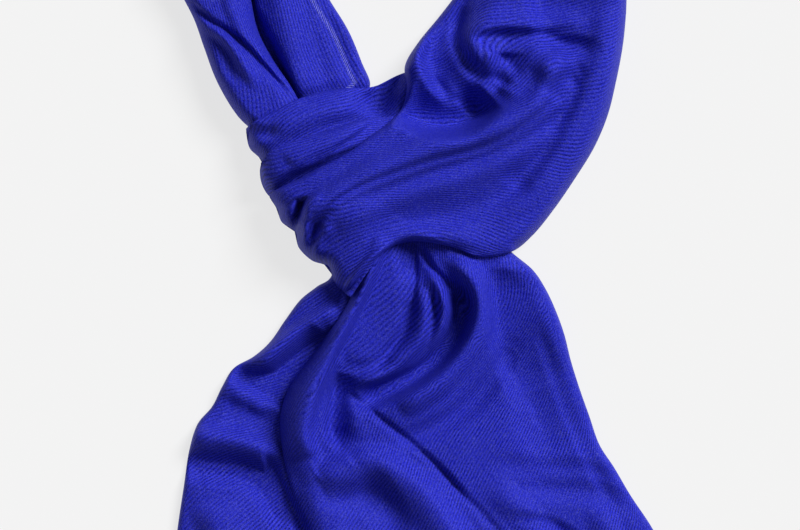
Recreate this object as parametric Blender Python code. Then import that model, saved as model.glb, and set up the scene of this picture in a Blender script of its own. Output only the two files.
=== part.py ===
"""A pashmina shawl: one woven rectangle, folded in half across its length, taken round a neck and tied by
pulling both ends through the bight. It is laid flat, with the neck loop towards +Y and the ends towards -Y.

The stretches that show are stacked in height. Each is a solid between two edge curves, with a flat underside
where it rests, and it is hollowed where it lies on another stretch. The tables are in millimetres from the
middle of the knot; the objects are in metres.
"""

from collections import namedtuple

import bpy
import bmesh
import numpy as np

MM = 0.001
KNOT_X, KNOT_Y = -13.0, -45.0  # the middle of the knot, from the middle of the shawl's footprint
SEAM_GAP = 0.34  # between two nodes of one run of cloth
LAYER_GAP = 0.30  # between a layer and the one that lies on it
RIM = 1.5  # a folded edge where it lies down: two thicknesses of cloth
THINNEST = 3.0  # the least height of cloth over a lower layer
CLOTH_BLUR = 2.8  # the narrowest crease in these solids
FULLNESS = 1.3  # how much fuller the folds stand than their tables say
FADE_LENGTH = 16.0  # a fold runs out over this length, or over a share of a short one
RASTER = 0.5  # the step at which one layer feels for the one beneath
SETTLE_TURNS = 5  # how many times a layer settles on the one beneath
HEM_PLIES = 3  # the plies of a tail that part at its hem
HEM_STAGGER = 7.0  # from the end of one ply to the end of the next
TIP_REACH = 2.6  # the number of sections over which a stretch takes the shape of its tip

# Across a stretch, edge a is the one towards the neck opening or the left, edge b the one opposite.
Section = namedtuple("Section", "a_x a_y b_x b_y a_height b_height")
# lip: the share of the height that the rolled edge takes, within roll mm; the rest comes within rise mm.
Edge = namedtuple("Edge", "lip roll rise")
# A ridge (height over 0) or trough (under 0) along a route, with its half-width on each side of the route.
Fold = namedtuple("Fold", "height left right route")
Run = namedtuple("Run", "sections edge_a edge_b start end tip folds")
# first and last count sections of the run; below names the nodes that this one lies on.
Node = namedtuple("Node", "name run first last rows columns below")

ROUND_SIDE = Edge(0.80, 15.0, 26.0)
LAID_FOLD = Edge(0.60, 4.0, 13.0)
DEEP_ROLL = Edge(0.75, 10.0, 20.0)
THIN_SIDE = Edge(0.50, 4.0, 24.0)
HIDDEN = None  # no rounding: this side is under another stretch
HEM = "hem"

# Up the left of the neck opening, round the back of the neck, down the right and across the knot.
OUTER_SECTIONS = [
    Section(-50, 80, -70, 64, 22, 20),
    Section(-58, 94, -85, 78, 25, 22),
    Section(-66, 108, -98, 90, 25, 23),
    Section(-76, 123, -110, 110, 26, 24),
    Section(-85, 140, -118, 131, 26, 24),
    Section(-89, 157, -124, 148, 26, 24),
    Section(-91, 173, -133, 166, 26, 24),
    Section(-90, 188, -139, 184, 26, 24),
    Section(-84, 206, -141, 206, 26, 24),
    Section(-72, 224, -134, 241, 27, 24),
    Section(-50, 239, -110, 283, 28, 24),
    Section(-25, 244, -60, 313, 28, 24),
    Section(0, 246, 0, 322, 28, 25),
    Section(28, 241, 64, 312, 28, 25),
    Section(47, 227, 114, 279, 28, 26),
    Section(55, 206, 137, 228, 28, 27),
    Section(49, 184, 140, 194, 28, 28),
    Section(37, 167, 137, 170, 28, 28),
    Section(24, 150, 136, 150, 29, 28),
    Section(11, 134, 134, 131, 31, 29),
    Section(3, 120, 130, 110, 36, 30),
    Section(4, 106, 125, 90, 39, 29),
    Section(1, 94, 117, 71, 41, 28),
    Section(-8, 84, 106, 53, 41, 28),
    Section(-18, 77, 93, 34, 40, 28),
    Section(-28, 69, 80, 18, 40, 28),
    Section(-38, 63, 67, 8, 40, 28),
    Section(-48, 58, 48, 5, 40, 30),
    Section(-57, 53, 30, 11, 40, 34),
    Section(-66, 49, 8, 14, 38, 38),
    Section(-72, 46, -8, 9, 36, 38),
    Section(-76, 44, -19, -4, 32, 34),
    Section(-78, 41, -29, -19, 28, 30),
]
NECK_FROM, NECK_MIDDLE, NECK_TO = 6, 12, 17  # the sections between the nodes of that run
WRAP_TIP = [
    (-78, 41), (-74, 34), (-71, 26), (-63, 20), (-61, 11), (-53, 3), (-43, -1), (-38, -12), (-29, -19),
]
OUTER_FOLDS = [
    # the left of the neck
    Fold(1.5, 6, 4, [(-105, 174), (-102, 156), (-95, 142), (-87, 129), (-78, 117)]),
    Fold(3.5, 4, 4, [(-114, 143), (-105, 135), (-98, 127), (-93, 119), (-87, 109)]),
    Fold(-5.0, 4, 6, [(-119, 142), (-111, 135), (-105, 127), (-102, 118), (-100, 110)]),
    # round the back of the neck
    Fold(3.5, 7, 7, [(-127, 170), (-130, 203), (-115, 248), (-73, 286), (-13, 300), (52, 291), (101, 254)]),
    Fold(
        -4.5, 5, 6, [
            (-115, 166), (-115, 203), (-97, 243), (-58, 273), (-3, 282), (47, 273), (85, 244), (105, 203),
        ],
    ),
    Fold(
        3.5, 6, 5, [
            (-101, 176), (-99, 208), (-77, 238), (-38, 260), (7, 265), (49, 252), (79, 220), (89, 178),
        ],
    ),
    Fold(-3.5, 4, 5, [(18, 254), (52, 236), (68, 204), (60, 174), (48, 163)]),
    # down the right
    Fold(3.0, 5, 5, [(44, 178), (32, 158), (23, 146), (14, 132), (7, 119)]),
    Fold(-11.0, 6, 6, [(49, 182), (39, 162), (36, 148), (34, 137), (37, 125), (42, 116), (49, 108)]),
    Fold(
        3.8, 4, 8, [
            (108, 146), (80, 143), (60, 143), (47, 140), (43, 135), (47, 129), (55, 124), (63, 116),
            (69, 107),
        ],
    ),
    Fold(-1.8, 4, 5, [(50, 136), (62, 137), (78, 137), (96, 135), (112, 133)]),
    Fold(-3.0, 5, 6, [(84, 134), (99, 131), (115, 130)]),
    Fold(-7.0, 5, 6, [(58, 100), (68, 105), (76, 110), (82, 116), (86, 122)]),
    Fold(-5.0, 6, 5, [(111, 115), (104, 112), (99, 107), (94, 100)]),
    Fold(-16.0, 20, 8, [(0, 97), (10, 91), (24, 87), (40, 87), (56, 92), (70, 99)]),
    Fold(2.5, 4, 4, [(128, 155), (127, 129), (122, 109), (114, 87), (101, 65), (86, 45), (70, 31)]),
    Fold(-3.5, 5, 9, [(112, 112), (107, 98), (100, 82), (89, 63), (75, 45)]),
    # across the knot
    Fold(
        5.5, 11, 9, [
            (85, 126), (91, 114), (88, 102), (75, 91), (58, 82), (40, 75), (20, 69), (2, 62), (-16, 54),
            (-32, 45), (-45, 35), (-54, 25),
        ],
    ),
    Fold(2.0, 6, 5, [(93, 88), (71, 72), (47, 62), (23, 54), (-3, 46), (-27, 36), (-39, 26)]),
    Fold(-2.5, 8, 8, [(76, 59), (52, 47), (26, 39), (-4, 31), (-24, 23)]),
    Fold(5.0, 6, 10, [(48, 13), (38, 14), (22, 15), (6, 13), (-8, 7), (-21, -1), (-31, -10)]),
    # the pleats at the left end
    Fold(3.5, 3, 3, [(-47, 43), (-54, 35), (-56, 25), (-57, 13)]),
    Fold(-2.5, 2.5, 3.5, [(-39, 33), (-46, 28), (-51, 21), (-53, 11)]),
    Fold(3.0, 3, 3, [(-41, 23), (-47, 15), (-51, 5)]),
    Fold(7.0, 2.5, 3, [(-36, -20), (-28, -9), (-20, 1), (-8, 11)]),
]

# The second end of the shawl, seen inside the left of the neck opening.
INNER_SECTIONS = [
    Section(-66, 72, -36, 84, 12, 12),
    Section(-74, 92, -26, 98, 13, 13),
    Section(-82, 108, -18, 108, 13, 13),
    Section(-92, 124, -23, 122, 13, 12),
    Section(-100, 142, -31, 141, 13, 11),
    Section(-105, 160, -42, 159, 13, 10),
    Section(-108, 178, -52, 176, 13, 10),
    Section(-108, 196, -58, 194, 13, 10),
    Section(-102, 216, -62, 212, 12, 10),
    Section(-94, 234, -68, 228, 12, 10),
]
INNER_FOLDS = [
    Fold(5.0, 11, 10, [(-80, 198), (-74, 168), (-68, 142), (-62, 118), (-57, 100)]),
    Fold(-9.0, 5, 6, [(-93, 176), (-90, 155), (-84, 140), (-76, 125), (-68, 110), (-61, 96)]),
    Fold(-2.0, 5, 5, [(-46, 154), (-38, 136), (-30, 116), (-24, 104)]),
    Fold(-3.0, 5, 6, [(-65, 95), (-53, 101), (-37, 104), (-21, 105)]),
]

# Two pleats of the bight that show above the wrap, from under it to the left of the knot.
UPPER_BAND_SECTIONS = [
    Section(9, 118, 6, 84, 11, 14),
    Section(-2, 114, -4, 82, 12, 17),
    Section(-17, 107, -16, 76, 16, 24),
    Section(-34, 106, -30, 70, 22, 29),
    Section(-50, 103, -46, 64, 26, 33),
    Section(-64, 98, -60, 58, 29, 33),
    Section(-77, 91, -71, 55, 30, 31),
    Section(-87, 86, -78, 54, 28, 28),
    Section(-92, 82, -81, 57, 24, 24),
]
UPPER_BAND_TIP = [(-92, 82), (-92, 77), (-90, 70), (-84, 64), (-81, 57)]
UPPER_BAND_FOLDS = [
    Fold(-5.0, 9, 10, [(0, 122), (-3, 110), (-5, 99), (-10, 88)]),
    Fold(3.0, 7, 7, [(-25, 95), (-43, 93), (-61, 88), (-75, 80)]),
    Fold(-1.5, 5, 6, [(-89, 60), (-75, 69), (-57, 75), (-41, 81), (-23, 86), (-11, 88)]),
    Fold(-3.0, 4, 4, [(-92, 83), (-84, 79), (-74, 79)]),
]
MIDDLE_BAND_SECTIONS = [
    Section(-4, 89, -6, 64, 24, 30),
    Section(-22, 87, -22, 54, 31, 35),
    Section(-38, 82, -38, 48, 36, 37),
    Section(-54, 77, -51, 43, 36, 36),
    Section(-68, 72, -62, 40, 35, 34),
    Section(-77, 68, -68, 39, 31, 30),
    Section(-82, 63, -73, 38, 26, 26),
]
MIDDLE_BAND_TIP = [(-82, 63), (-84, 57), (-83, 49), (-79, 42), (-73, 38)]
MIDDLE_BAND_FOLDS = [
    Fold(2.5, 5, 6, [(-17, 82), (-37, 75), (-55, 67), (-71, 58)]),
    Fold(-8.0, 5, 6, [(-85, 38), (-71, 46), (-59, 52), (-41, 62), (-21, 76), (-7, 88)]),
    Fold(-3.0, 4, 4, [(-82, 65), (-72, 61), (-64, 55)]),
]

FRONT_TAIL_SECTIONS = [
    Section(-16, 30, 42, 32, 24, 24),
    Section(-20, 14, 56, 20, 25, 24),
    Section(-24, -3, 67, 8, 25, 22),
    Section(-29, -18, 80, -3, 24, 18),
    Section(-36, -31, 88, -15, 22, 15),
    Section(-44, -42, 94, -28, 21, 13),
    Section(-53, -55, 99, -42, 20, 11),
    Section(-62, -67, 103, -58, 20, 10),
    Section(-69, -79, 108, -74, 20, 9),
    Section(-72, -93, 114, -91, 20, 9),
    Section(-71, -108, 120, -108, 19, 9),
    Section(-68, -124, 129, -122, 18, 9),
    Section(-63, -140, 139, -139, 17, 8),
    Section(-55, -157, 151, -157, 16, 8),
    Section(-50, -175, 159, -173, 15, 8),
    Section(-47, -200, 164, -197, 14, 8),
    Section(-46, -232, 167, -230, 13, 8),
]
FRONT_TAIL_FOLDS = [
    # the rolled left side
    Fold(
        8.5, 5, 13, [
            (-6, 21), (-14, -5), (-24, -28), (-35, -50), (-44, -71), (-50, -90), (-51, -105), (-45, -116),
            (-32, -120),
        ],
    ),
    # the hook below the knot
    Fold(-4.5, 10, 9, [(4, 26), (6, 12), (8, 0), (9, -10)]),
    Fold(-5.0, 5, 5, [(9, -20), (7, -30), (4, -40), (-3, -50), (-10, -58)]),
    Fold(3.5, 4, 5, [(14, -14), (15, -28), (13, -42), (5, -54), (-6, -60)]),
    Fold(-1.5, 4, 4, [(-6, -57), (-16, -60), (-28, -62)]),
    Fold(
        4.5, 4, 5, [
            (17, -5), (22, -12), (26, -20), (28, -30), (25, -42), (17, -54), (3, -63), (-12, -68),
            (-24, -70),
        ],
    ),
    Fold(
        -13.0, 7, 7, [
            (33, -14), (36, -20), (37, -29), (34, -42), (26, -55), (13, -66), (-2, -74), (-14, -79),
            (-22, -82),
        ],
    ),
    Fold(6.5, 8, 6, [(31, 4), (44, -9), (50, -25), (50, -41), (43, -56), (32, -70), (17, -81), (2, -88)]),
    Fold(-4.0, 7, 7, [(66, -50), (57, -66), (44, -82), (28, -94), (12, -102), (-2, -106)]),
    # the pocket and the crease that runs out of it, with a ridge below
    Fold(-6.0, 12, 3.5, [(-41, -82), (-42, -92), (-41, -102), (-34, -111)]),
    Fold(-5.0, 5, 3, [(-37, -66), (-39, -77), (-41, -89), (-41, -100), (-37, -108)]),
    Fold(
        5.5, 9, 14, [
            (-46, -124), (-33, -117), (-19, -112), (-7, -115), (4, -125), (14, -137), (26, -152),
            (38, -174), (48, -211),
        ],
    ),
    Fold(-3.0, 9, 12, [(-20, -124), (-12, -138), (-6, -152), (2, -182), (8, -219)]),
    Fold(4.0, 16, 8, [(-56, -126), (-48, -146), (-40, -168), (-34, -217)]),
    Fold(-2.0, 9, 8, [(-50, -136), (-32, -140), (-14, -144)]),
    # the smooth right side
    Fold(-2.0, 14, 12, [(74, -44), (79, -72), (84, -97), (93, -116)]),
    Fold(3.0, 8, 9, [(56, -133), (76, -151), (94, -177), (104, -215)]),
    Fold(-1.2, 6, 6, [(59, -119), (81, -122), (109, -123), (131, -130)]),
    Fold(-2.2, 7, 7, [(76, -131), (92, -135), (111, -136), (134, -143)]),
    Fold(-2.5, 5, 5, [(70, -152), (88, -156), (106, -166)]),
    Fold(2.5, 8, 8, [(118, -145), (130, -175), (136, -215)]),
    Fold(-2.0, 4, 4, [(84, -41), (92, -63), (102, -89), (114, -113), (128, -141)]),
]

BACK_TAIL_SECTIONS = [
    Section(-36, 16, -4, 16, 15, 14),
    Section(-41, -6, -8, -12, 15, 13),
    Section(-50, -13, -16, -28, 14, 12),
    Section(-60, -21, -25, -43, 13, 11),
    Section(-69, -33, -35, -58, 12, 10),
    Section(-78, -46, -44, -72, 11, 9),
    Section(-88, -55, -50, -84, 11, 9),
    Section(-100, -62, -54, -96, 10, 9),
    Section(-107, -73, -56, -108, 10, 9),
    Section(-113, -85, -55, -120, 10, 9),
    Section(-122, -96, -52, -132, 10, 9),
    Section(-127, -112, -48, -145, 10, 9),
    Section(-130, -132, -45, -160, 10, 9),
    Section(-134, -159, -42, -178, 9, 9),
    Section(-137, -188, -39, -199, 8, 8),
    Section(-139, -220, -35, -222, 8, 8),
]
BACK_TAIL_FOLDS = [
    Fold(4.0, 4, 5, [(-36, -26), (-52, -35), (-64, -42), (-76, -53)]),
    Fold(-6.0, 8, 9, [(-48, -47), (-60, -57), (-71, -67), (-82, -76)]),
    Fold(-5.0, 8, 9, [(-106, -86), (-94, -88), (-80, -92), (-70, -94)]),
    Fold(2.5, 4, 6, [(-111, -72), (-101, -74), (-91, -79), (-82, -85)]),
    Fold(5.5, 6, 8, [(-130, -103), (-112, -103), (-96, -106), (-82, -111), (-72, -117)]),
    Fold(-6.0, 8, 8, [(-130, -120), (-110, -123), (-94, -125), (-83, -131), (-75, -143), (-67, -158)]),
    Fold(5.0, 20, 11, [(-114, -142), (-109, -158), (-104, -180), (-100, -214)]),
    Fold(-6.0, 6, 2, [(-80, -114), (-77, -128), (-69, -146), (-59, -164), (-49, -188)]),
]

RUNS = {
    "outer": Run(OUTER_SECTIONS, LAID_FOLD, ROUND_SIDE, HIDDEN, ROUND_SIDE, WRAP_TIP, OUTER_FOLDS),
    "inner": Run(INNER_SECTIONS, HIDDEN, THIN_SIDE, HIDDEN, HIDDEN, [], INNER_FOLDS),
    "upper": Run(
        UPPER_BAND_SECTIONS, LAID_FOLD, HIDDEN, HIDDEN, ROUND_SIDE, UPPER_BAND_TIP, UPPER_BAND_FOLDS
    ),
    "middle": Run(
        MIDDLE_BAND_SECTIONS, LAID_FOLD, HIDDEN, HIDDEN, ROUND_SIDE, MIDDLE_BAND_TIP, MIDDLE_BAND_FOLDS
    ),
    "front": Run(FRONT_TAIL_SECTIONS, DEEP_ROLL, THIN_SIDE, HIDDEN, HEM, [], FRONT_TAIL_FOLDS),
    "back": Run(BACK_TAIL_SECTIONS, THIN_SIDE, HIDDEN, HIDDEN, HEM, [], BACK_TAIL_FOLDS),
}
NODES = [
    Node("left_inner_end", "inner", 0, 9, 17, 8, []),
    Node("back_tail", "back", 0, 15, 34, 17, []),
    Node("front_tail", "front", 0, 16, 45, 34, ["back_tail"]),
    Node("left_outer_end", "outer", 0, NECK_FROM, 14, 11, ["left_inner_end"]),
    Node("neck_loop_left", "outer", NECK_FROM, NECK_MIDDLE, 20, 12, ["left_inner_end"]),
    Node("neck_loop_right", "outer", NECK_MIDDLE, NECK_TO, 20, 12, []),
    Node("upper_band", "upper", 0, 8, 13, 8, ["left_inner_end", "left_outer_end"]),
    Node("middle_band", "middle", 0, 7, 12, 7, ["left_inner_end", "left_outer_end", "upper_band"]),
    Node(
        "front_wrap",
        "outer",
        NECK_TO,
        32,
        50,
        29,
        ["left_inner_end", "left_outer_end", "upper_band", "middle_band", "back_tail", "front_tail"],
    ),
]
CLOTH_BLUE = (0.0210, 0.0270, 0.3280)


def spline(rows, places):
    """The rows' values at places counted in rows: f(t), smooth and through every row."""
    rows = np.asarray(rows, float)
    ends = [2 * rows[0] - rows[1], *rows, 2 * rows[-1] - rows[-2]]
    padded = np.array(ends)
    at = np.clip(np.asarray(places, float), 0.0, len(rows) - 1.0)
    i = np.minimum(at.astype(int), len(rows) - 2)
    f = (at - i)[:, None]
    p, q, r, s = (padded[i + k] for k in range(4))
    return q + 0.5 * f * (r - p + f * (2 * p - 5 * q + 4 * r - s + f * (3 * (q - r) + s - p)))


def smooth_line(points, per_span=8):
    """A smooth line through the points, as many short straight steps."""
    return spline(points, np.linspace(0, len(points) - 1, per_span * (len(points) - 1) + 1))


def lengths(line):
    """The length run along the line up to each of its points."""
    steps = np.hypot(*np.diff(line, axis=0).T)
    return np.concatenate([[0.0], np.cumsum(steps)])


def nearest(points, line):
    """For each point: its distance from the line, its side of the line, and its place along it."""
    start, step = line[:-1], np.diff(line, axis=0)
    size = np.maximum((step**2).sum(1), 1e-9)
    offset = points[:, None, :] - start[None]
    share = np.clip((offset * step[None]).sum(2) / size, 0.0, 1.0)
    gap = offset - share[..., None] * step[None]
    distance = np.hypot(gap[..., 0], gap[..., 1])
    k = distance.argmin(1)
    n = np.arange(len(points))
    side = step[k, 0] * offset[n, k, 1] - step[k, 1] * offset[n, k, 0]
    along = lengths(line)[k] + share[n, k] * np.sqrt(size[k])
    return distance[n, k], side > 0, along


def fold_height(points, fold):
    """The height that one fold adds: (1 - d^2)^2 across its route, fading in and out at the two ends."""
    line = smooth_line(fold.route)
    distance, on_left, along = nearest(points, line)
    width = np.where(on_left, fold.left, fold.right)
    blurred = np.hypot(width, CLOTH_BLUR)
    across = np.clip(1 - (distance / (1.45 * blurred)) ** 2, 0, 1) ** 2
    whole = lengths(line)[-1]
    fade = np.clip(np.minimum(along, whole - along) / min(0.3 * whole, FADE_LENGTH) + 0.15, 0, 1)
    return FULLNESS * fold.height * (width / blurred) * across * fade * (2 - fade)


def edge_share(distance, edge):
    """The share of the full height at a distance in from an edge: a quarter-round lip, then a slow rise."""
    if edge is HIDDEN:
        return np.ones_like(distance)
    if edge == HEM:
        starts = HEM_STAGGER * np.arange(HEM_PLIES)
        return np.clip((distance[:, None] - starts) / 0.8, 0, 1).mean(1)
    lip = np.sqrt(1 - (1 - np.clip(distance / edge.roll, 0, 1)) ** 2)
    rise = np.sin(0.5 * np.pi * np.clip(distance / edge.rise, 0, 1))
    return edge.lip * lip + (1 - edge.lip) * rise


def row_places(run, node):
    """Where the node's rows are, counted in sections: evenly along the cloth, and closer at a hem."""
    fine = np.linspace(node.first, node.last, 60 * (node.last - node.first) + 1)
    at = spline(run.sections, fine)
    run_length = lengths((at[:, 0:2] + at[:, 2:4]) / 2)
    last = len(run.sections) - 1
    start = SEAM_GAP / 2 if node.first > 0 else 0.0
    end = run_length[-1] - (SEAM_GAP / 2 if node.last < last else 0.0)
    stops = np.linspace(start, end, node.rows)
    if run.end == HEM:
        steps = [k * HEM_STAGGER + d for k in range(HEM_PLIES) for d in (0.0, 0.8)]
        body = np.linspace(start, end - max(steps) - 6.0, node.rows - len(steps))
        stops = np.sort(np.concatenate([body, end - np.array(steps)]))
    return np.interp(stops, run_length, fine)


def column_places(width, columns):
    """Where the columns are, as shares of the width: even, but for two close to each edge."""
    near = np.minimum(np.array([0.0, 2.2, 6.5]), width[:, None] * np.array([0.0, 0.08, 0.2]))
    middle = np.linspace(0, 1, columns - 4)[1:-1]
    inner = near[:, 2:] + (width[:, None] - 2 * near[:, 2:]) * np.concatenate([[0.0], middle, [1.0]])
    return np.hstack([near[:, :2], inner, width[:, None] - near[:, 1::-1]]) / width[:, None]


def plan(run, node):
    """The node's grid seen from above, and the crown height of the cloth at each of its points."""
    places = row_places(run, node)
    at = spline(run.sections, places)
    a, b = at[:, None, 0:2], at[:, None, 2:4]
    share = column_places(np.hypot(*(at[:, 2:4] - at[:, 0:2]).T), node.columns)[..., None]
    grid = a + (b - a) * share
    if run.tip and node.last == len(run.sections) - 1:
        tip = smooth_line(run.tip)
        run_share = lengths(tip) / lengths(tip)[-1]
        bulge = np.stack([np.interp(share[..., 0], run_share, tip[:, k]) for k in (0, 1)], 2)
        bulge -= tip[0] + (tip[-1] - tip[0]) * share
        near_tip = np.clip((places - node.last + TIP_REACH) / TIP_REACH, 0, 1)
        grid = grid + bulge * (near_tip**2 * (3 - 2 * near_tip))[:, None, None]
    height = at[:, None, 4] + (at[:, None, 5] - at[:, None, 4]) * share[..., 0]
    return grid, height


def grid_triangles(rows, columns):
    """Two triangles for each cell of a grid, as numbers of its points."""
    corner = (np.arange(rows - 1)[:, None] * columns + np.arange(columns - 1)).ravel()
    lower = np.stack([corner, corner + columns, corner + columns + 1], 1)
    upper = np.stack([corner, corner + columns + 1, corner + 1], 1)
    return np.concatenate([lower, upper])


class Surface:
    """The height of a set of triangles over a fine square raster of the table."""

    def __init__(self):
        self.origin = np.array([-170.0, -250.0])
        self.size = (int(360 / RASTER), int(600 / RASTER))
        self.height = np.zeros(self.size)

    def cells(self, triangle):
        """The raster cells within a triangle, and each one's three shares of its corners."""
        low = np.floor((triangle.min(0) - self.origin) / RASTER).astype(int)
        high = np.ceil((triangle.max(0) - self.origin) / RASTER).astype(int) + 1
        i, j = np.meshgrid(np.arange(low[0], high[0]), np.arange(low[1], high[1]), indexing="ij")
        at = np.stack([i, j], 2) * RASTER + self.origin - triangle[0]
        (ux, uy), (vx, vy) = triangle[1] - triangle[0], triangle[2] - triangle[0]
        area = ux * vy - uy * vx
        if abs(area) < 1e-9:
            return i[:0, 0], j[:0, 0], np.zeros((0, 3))
        p = (at[..., 0] * vy - at[..., 1] * vx) / area
        q = (at[..., 1] * ux - at[..., 0] * uy) / area
        slack = 0.02
        inside = (p >= -slack) & (q >= -slack) & (p + q <= 1 + slack)
        shares = np.stack([1 - p - q, p, q], 2)[inside]
        return i[inside], j[inside], shares

    def add(self, points, heights, triangles):
        """Lift the raster to the triangles."""
        for corners in triangles:
            i, j, shares = self.cells(points[corners])
            self.height[i, j] = np.maximum(self.height[i, j], shares @ heights[corners])

    def spread(self):
        """The same raster with each cell lifted to the highest of its neighbours."""
        wide = self.height.copy()
        for x in (-1, 0, 1):
            for y in (-1, 0, 1):
                wide = np.maximum(wide, np.roll(self.height, (x, y), (0, 1)))
        return wide


def underside(surface, points, triangles, below):
    """The least heights at the points whose triangles clear everything in below by the layer gap."""
    cleared = below + np.where(below > 0, LAYER_GAP, 0.0)
    cell = np.round((points - surface.origin) / RASTER).astype(int)
    base = cleared[cell[:, 0], cell[:, 1]]
    covered = []
    for corners in triangles:
        i, j, shares = surface.cells(points[corners])
        if len(i) and cleared[i, j].max() > 0:
            covered.append((corners, cleared[i, j], shares))
    for turn in range(SETTLE_TURNS):
        for corners, reach, shares in covered:
            lack = (reach - shares @ base[corners]).max()
            if lack > 0:
                step = lack if turn < SETTLE_TURNS - 1 else reach.max()
                base[corners] = np.maximum(base[corners], np.minimum(base[corners] + step, reach.max()))
    return base


def top_heights(run, points, crown, base):
    """The upper face: from the rim at the edges up to the crown, with the folds on it."""
    places = np.linspace(0, len(run.sections) - 1, 10 * len(run.sections))
    at = spline(run.sections, places)
    tip = smooth_line(run.tip) if run.tip else np.array([at[-1, 0:2], at[-1, 2:4]])
    sides = [(at[:, 0:2], run.edge_a), (at[:, 2:4], run.edge_b), (tip, run.end)]
    share = np.ones(len(points))
    for line, edge in sides:
        if edge is not HIDDEN:
            share *= edge_share(nearest(points, line)[0], edge)
    full = crown + sum(fold_height(points, fold) for fold in run.folds)
    return base + RIM + np.maximum(full - base - RIM, THINNEST - RIM) * share


def closed_body(name, points, base, top, triangles, rows, columns):
    """One closed object between the two faces, with its flat underside in as few faces as it needs."""
    count = rows * columns
    lifted = [(p[0] * MM, p[1] * MM, h * MM) for p, h in zip(points + (KNOT_X, KNOT_Y), base)]
    lifted += [(p[0] * MM, p[1] * MM, h * MM) for p, h in zip(points + (KNOT_X, KNOT_Y), top)]
    border = [j for j in range(columns)]
    border += [i * columns + columns - 1 for i in range(1, rows)]
    border += [(rows - 1) * columns + j for j in range(columns - 2, -1, -1)]
    border += [i * columns for i in range(rows - 2, 0, -1)]
    faces = [tuple(t) for t in triangles] + [tuple(t[::-1] + count) for t in triangles]
    for here, after in zip(border, border[1:] + border[:1]):
        faces.append((after, here, here + count))
        faces.append((after, here + count, after + count))
    mesh = bpy.data.meshes.new(name)
    mesh.from_pydata(lifted, [], [tuple(int(k) for k in face) for face in faces])
    shape = bmesh.new()
    shape.from_mesh(mesh)
    bmesh.ops.recalc_face_normals(shape, faces=shape.faces)
    flat = [f for f in shape.faces if all(v.co.z < 1e-9 for v in f.verts)]
    edges = list({e for f in flat for e in f.edges if all(g in set(flat) for g in e.link_faces)})
    result = bmesh.ops.dissolve_edges(shape, edges=edges, use_verts=False, use_face_split=False)
    del result
    loose = [v for v in shape.verts if not v.link_faces]
    bmesh.ops.delete(shape, geom=loose, context="VERTS")
    bmesh.ops.triangulate(shape, faces=shape.faces, quad_method="SHORT_EDGE", ngon_method="BEAUTY")
    shape.to_mesh(mesh)
    shape.free()
    piece = bpy.data.objects.new(name, mesh)
    bpy.context.scene.collection.objects.link(piece)
    material = bpy.data.materials.new(name + "_cloth")
    material.use_nodes = True
    shader = material.node_tree.nodes["Principled BSDF"]
    shader.inputs["Base Color"].default_value = (*CLOTH_BLUE, 1.0)
    shader.inputs["Roughness"].default_value = 0.9
    mesh.materials.append(material)
    return piece


def build_node(node, surfaces):
    """Build one node on the nodes that it lies on, and keep its upper face for those that lie on it."""
    run = RUNS[node.run]
    grid, crown = plan(run, node)
    rows, columns = crown.shape
    points = grid.reshape(-1, 2)
    triangles = grid_triangles(rows, columns)
    surface = Surface()
    below = np.zeros(surface.size)
    for name in node.below:
        below = np.maximum(below, surfaces[name])
    base = underside(surface, points, triangles, below)
    top = top_heights(run, points, crown.ravel(), base)
    surface.add(points, top, triangles)
    surfaces[node.name] = surface.spread()
    return closed_body(node.name, points, base, top, triangles, rows, columns)


def build():
    """Clear the scene and build every node."""
    for old in list(bpy.data.objects):
        bpy.data.objects.remove(old, do_unlink=True)
    surfaces = {}
    for node in NODES:
        build_node(node, surfaces)


build()
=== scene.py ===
# %% [markdown]
# # A pashmina shawl, tied and laid on a table
#
# The shawl is one woven rectangle, 700 mm by 2000 mm. It is folded in half across its length, taken round a
# neck, and both ends are pulled through the bight. What we see is gathered cloth: stretches that lie over
# each other, each with soft ridges, troughs and a few sharp creases. All of it is one fine twill, whose
# diagonal lines show which way each stretch was pulled.
#
# The tables below are in millimetres from the middle of the knot, and the meshes are in metres.

# %% Load the part
from collections import namedtuple

import bpy
import numpy as np
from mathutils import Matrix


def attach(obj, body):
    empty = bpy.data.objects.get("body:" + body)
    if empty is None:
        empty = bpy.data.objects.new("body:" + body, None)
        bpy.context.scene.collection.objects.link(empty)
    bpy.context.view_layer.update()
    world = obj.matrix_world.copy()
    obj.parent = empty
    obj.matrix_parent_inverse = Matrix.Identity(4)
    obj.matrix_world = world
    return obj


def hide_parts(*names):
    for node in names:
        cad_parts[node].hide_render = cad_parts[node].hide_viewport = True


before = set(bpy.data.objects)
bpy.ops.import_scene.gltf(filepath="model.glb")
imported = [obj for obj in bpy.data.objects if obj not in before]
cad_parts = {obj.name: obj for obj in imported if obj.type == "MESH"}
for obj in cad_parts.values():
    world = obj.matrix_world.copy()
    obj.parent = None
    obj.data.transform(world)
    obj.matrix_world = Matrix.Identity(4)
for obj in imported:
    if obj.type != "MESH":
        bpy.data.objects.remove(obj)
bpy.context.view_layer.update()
MM = 0.001
KNOT_X, KNOT_Y = -13.0, -45.0  # the middle of the knot in the part's own frame, in mm
print("nodes:", sorted(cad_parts))

# %% [markdown]
# ## Table, light and camera
#
# A garment like this is laid on a plain pale table and seen from straight above. The light is a big soft
# source from the upper right with an even sky around it, so that folds shade gently and only deep pockets go
# dark. A long lens far away keeps the perspective of the high and the low layers alike.

# %% A pale table
TABLE_SIZE = 6.0  # metres
TABLE_GREY = 0.16
TABLE_GLOW = 0.735  # with what its paint reflects, this makes the table a near white under the key light
WHITE = (1.0, 1.0, 1.0, 1.0)


def add_object(name, data):
    """An object with this mesh, light or camera, linked into the scene."""
    made = bpy.data.objects.new(name, data)
    bpy.context.scene.collection.objects.link(made)
    return made


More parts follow.
